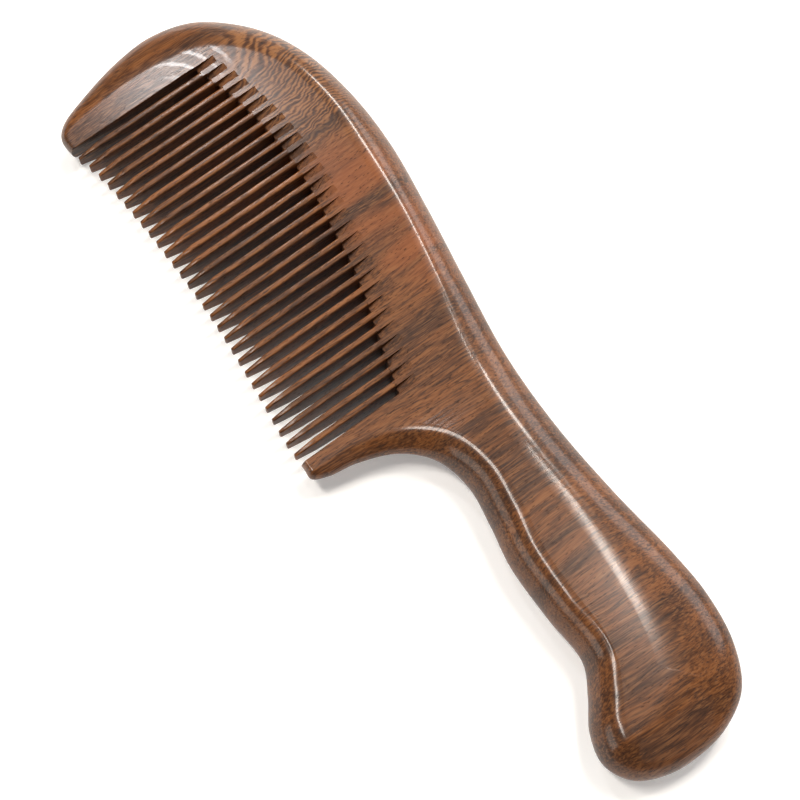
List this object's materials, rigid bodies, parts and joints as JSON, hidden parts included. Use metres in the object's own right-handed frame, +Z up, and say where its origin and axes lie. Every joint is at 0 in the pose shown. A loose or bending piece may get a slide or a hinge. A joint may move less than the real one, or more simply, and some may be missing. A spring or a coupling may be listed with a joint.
{
  "type": "wooden handled comb",
  "caption": "Polished dark hardwood comb with an arched head, fine straight teeth between two end guards, and a curved handle ending in a bulb.",
  "frame": {"origin": "under the middle of the comb's box, on the surface that the comb lies on", "axes": "+X from the nose of the head to the butt of the handle, +Y from the tooth tips to the spine, +Z up through the thickness"},
  "size_m": [0.1892, 0.0566, 0.013],
  "materials": {
    "head_wood": "dark red-brown hardwood, hand polished and oiled, satin to semi-gloss",
    "handle_wood": "dark red-brown hardwood with darker cross bands, hand polished and oiled, satin to semi-gloss",
    "tooth_wood": "dark red-brown hardwood, fine sanded, satin"
  },
  "bodies": {
    "root": {"head": "head_wood", "handle": "handle_wood", "tooth_01": "tooth_wood", "tooth_02": "tooth_wood", "tooth_03": "tooth_wood", "tooth_04": "tooth_wood", "tooth_05": "tooth_wood", "tooth_06": "tooth_wood", "tooth_07": "tooth_wood", "tooth_08": "tooth_wood", "tooth_09": "tooth_wood", "tooth_10": "tooth_wood", "tooth_11": "tooth_wood", "tooth_12": "tooth_wood", "tooth_13": "tooth_wood", "tooth_14": "tooth_wood", "tooth_15": "tooth_wood", "tooth_16": "tooth_wood", "tooth_17": "tooth_wood", "tooth_18": "tooth_wood", "tooth_19": "tooth_wood", "tooth_20": "tooth_wood", "tooth_21": "tooth_wood", "tooth_22": "tooth_wood", "tooth_23": "tooth_wood", "tooth_24": "tooth_wood", "tooth_25": "tooth_wood", "tooth_26": "tooth_wood", "tooth_27": "tooth_wood", "tooth_28": "tooth_wood", "tooth_29": "tooth_wood"}
  },
  "joints": []
}
